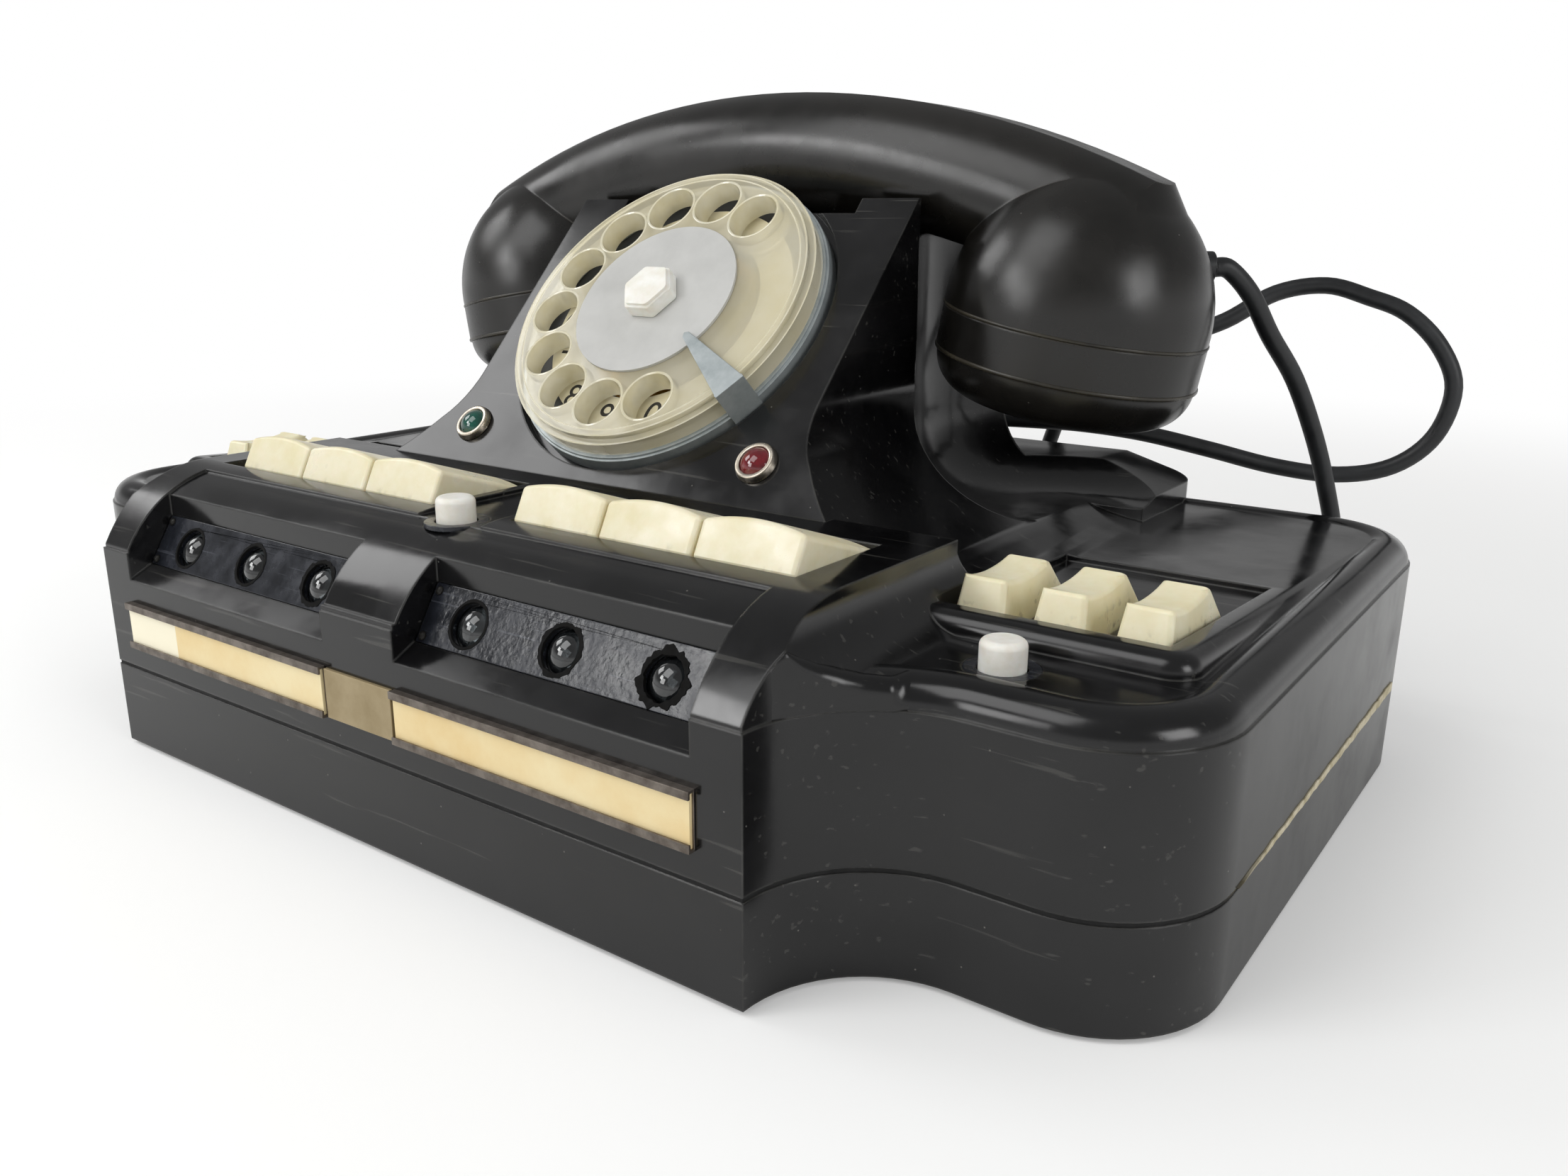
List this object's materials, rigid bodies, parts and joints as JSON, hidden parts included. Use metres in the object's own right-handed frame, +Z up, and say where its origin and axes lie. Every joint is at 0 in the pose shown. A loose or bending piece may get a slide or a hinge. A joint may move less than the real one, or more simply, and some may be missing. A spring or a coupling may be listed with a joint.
{
  "type": "desk telephone",
  "caption": "Desk telephone with a sloping dial tower, a row of front keys above lamp windows, keyed side wings and a handset resting across the top on a loose cord.",
  "frame": {"origin": "under the middle of the case, on the surface that its feet rest on", "axes": "+Z up, the front with the lamp windows faces -Y, +X to the right as seen from the front"},
  "size_m": [0.297, 0.2336, 0.147],
  "materials": {
    "bakelite_black": "polished, worn in places",
    "panel_black": "satin, scratched",
    "rubber_black": "smooth",
    "gasket_board": "pressed board",
    "steel_plated": "dull plating",
    "bezel_metal": "turned",
    "plate_nickel": "dull",
    "lens_clear": "clear",
    "brass_works": "bare",
    "card_cream": "paper card",
    "jewel_red": "faceted look, coloured",
    "jewel_green": "faceted look, coloured",
    "number_white": "enamel",
    "wheel_amber": "yellowed, slightly see-through",
    "disc_grey": "plain",
    "button_white": "smooth",
    "key_ivory": "smooth, aged",
    "winding_brown": "varnished winding",
    "strip_brown": "moulded"
  },
  "bodies": {
    "base": {"base_pan": "bakelite_black", "upper_shell": "bakelite_black", "lamp_panel_left": "panel_black", "lamp_panel_right": "panel_black", "button_collars": "panel_black", "rubber_feet": "rubber_black", "handset_cord": "rubber_black", "cord_slack": "rubber_black", "cord_grommet": "rubber_black", "seam_gasket": "gasket_board", "case_screws": "steel_plated", "panel_rivets": "steel_plated", "label_rails_left": "steel_plated", "label_rails_right": "steel_plated", "dial_ring": "steel_plated", "finger_stop": "steel_plated", "key_rods": "steel_plated", "chassis_plate": "steel_plated", "capacitor": "steel_plated", "jewel_bezels": "bezel_metal", "centre_plate": "plate_nickel", "lamp_lenses": "lens_clear", "lamp_units": "brass_works", "dial_movement": "brass_works", "hook_switch": "brass_works", "ringer_gongs": "brass_works", "key_switches": "brass_works", "label_cards": "card_cream", "jewel_red": "jewel_red", "jewel_green": "jewel_green", "number_plate": "number_white", "ringer_coils": "winding_brown", "induction_coil": "winding_brown", "terminal_strip": "strip_brown"},
    "dial_wheel": {"finger_wheel": "wheel_amber", "dial_disc": "disc_grey", "dial_cap": "button_white", "dial_shaft": "steel_plated"},
    "handset": {"handset_body": "bakelite_black", "ear_cap": "bakelite_black", "mouth_cap": "bakelite_black", "receiver_capsule": "steel_plated", "transmitter_capsule": "steel_plated", "handset_grommet": "rubber_black"},
    "hook": {"hook_plungers": "button_white"},
    "front_key_1": {"key_front_1": "key_ivory"},
    "front_key_2": {"key_front_2": "key_ivory"},
    "front_key_3": {"key_front_3": "key_ivory"},
    "front_key_4": {"key_front_4": "key_ivory"},
    "front_key_5": {"key_front_5": "key_ivory"},
    "front_key_6": {"key_front_6": "key_ivory"},
    "right_key_1": {"key_right_1": "key_ivory"},
    "right_key_2": {"key_right_2": "key_ivory"},
    "right_key_3": {"key_right_3": "key_ivory"},
    "left_key_1": {"key_left_1": "key_ivory"},
    "left_key_2": {"key_left_2": "key_ivory"},
    "left_key_3": {"key_left_3": "key_ivory"},
    "front_push": {"front_button": "button_white"},
    "right_push": {"right_button": "button_white"},
    "left_push": {"left_button": "button_white"}
  },
  "joints": [
    {"name": "dial_turn", "type": "hinge", "parent": "base", "child": "dial_wheel", "pos_m": [0, 0.0013, 0.0958], "axis": [0, -0.7325, 0.6807], "range_deg": [-326, 0], "stiffness_Nm_per_rad": 0.008},
    {"name": "handset_lift", "type": "slide", "parent": "base", "child": "handset", "axis": [0, 0, 1], "range_m": [0, 0.06]},
    {"name": "hook_rise", "type": "slide", "parent": "base", "child": "hook", "axis": [0, 0, 1], "range_m": [0, 0.004]},
    {"name": "front_key_1_press", "type": "hinge", "parent": "base", "child": "front_key_1", "pos_m": [-0.063, -0.0404, 0.0606], "axis": [1, 0, 0], "range_deg": [0, 5], "stiffness_Nm_per_rad": 0.3},
    {"name": "front_key_2_press", "type": "hinge", "parent": "base", "child": "front_key_2", "pos_m": [-0.041, -0.0404, 0.0606], "axis": [1, 0, 0], "range_deg": [0, 5], "stiffness_Nm_per_rad": 0.3},
    {"name": "front_key_3_press", "type": "hinge", "parent": "base", "child": "front_key_3", "pos_m": [-0.019, -0.0404, 0.0606], "axis": [1, 0, 0], "range_deg": [0, 5], "stiffness_Nm_per_rad": 0.3},
    {"name": "front_key_4_press", "type": "hinge", "parent": "base", "child": "front_key_4", "pos_m": [0.026, -0.0404, 0.0606], "axis": [1, 0, 0], "range_deg": [0, 5], "stiffness_Nm_per_rad": 0.3},
    {"name": "front_key_5_press", "type": "hinge", "parent": "base", "child": "front_key_5", "pos_m": [0.048, -0.0404, 0.0606], "axis": [1, 0, 0], "range_deg": [0, 5], "stiffness_Nm_per_rad": 0.3},
    {"name": "front_key_6_press", "type": "hinge", "parent": "base", "child": "front_key_6", "pos_m": [0.07, -0.0404, 0.0606], "axis": [1, 0, 0], "range_deg": [0, 5], "stiffness_Nm_per_rad": 0.3},
    {"name": "right_key_1_press", "type": "hinge", "parent": "base", "child": "right_key_1", "pos_m": [0.0986, -0.0098, 0.0477], "axis": [1, 0, 0], "range_deg": [0, 5], "stiffness_Nm_per_rad": 0.3},
    {"name": "right_key_2_press", "type": "hinge", "parent": "base", "child": "right_key_2", "pos_m": [0.11323, -0.0098, 0.0477], "axis": [1, 0, 0], "range_deg": [0, 5], "stiffness_Nm_per_rad": 0.3},
    {"name": "right_key_3_press", "type": "hinge", "parent": "base", "child": "right_key_3", "pos_m": [0.12785, -0.0098, 0.0477], "axis": [1, 0, 0], "range_deg": [0, 5], "stiffness_Nm_per_rad": 0.3},
    {"name": "left_key_1_press", "type": "hinge", "parent": "base", "child": "left_key_1", "pos_m": [-0.0986, -0.0098, 0.0477], "axis": [1, 0, 0], "range_deg": [0, 5], "stiffness_Nm_per_rad": 0.3},
    {"name": "left_key_2_press", "type": "hinge", "parent": "base", "child": "left_key_2", "pos_m": [-0.11323, -0.0098, 0.0477], "axis": [1, 0, 0], "range_deg": [0, 5], "stiffness_Nm_per_rad": 0.3},
    {"name": "left_key_3_press", "type": "hinge", "parent": "base", "child": "left_key_3", "pos_m": [-0.12785, -0.0098, 0.0477], "axis": [1, 0, 0], "range_deg": [0, 5], "stiffness_Nm_per_rad": 0.3},
    {"name": "front_button_press", "type": "slide", "parent": "base", "child": "front_push", "axis": [0, 0, -1], "range_m": [0, 0.0025], "stiffness_N_per_m": 300},
    {"name": "right_button_press", "type": "slide", "parent": "base", "child": "right_push", "axis": [0, 0, -1], "range_m": [0, 0.0025], "stiffness_N_per_m": 300},
    {"name": "left_button_press", "type": "slide", "parent": "base", "child": "left_push", "axis": [0, 0, -1], "range_m": [0, 0.0025], "stiffness_N_per_m": 300}
  ],
  "couplings": [
    {"joint": "hook_rise", "follows": "handset_lift", "ratio": 0.066667}
  ]
}
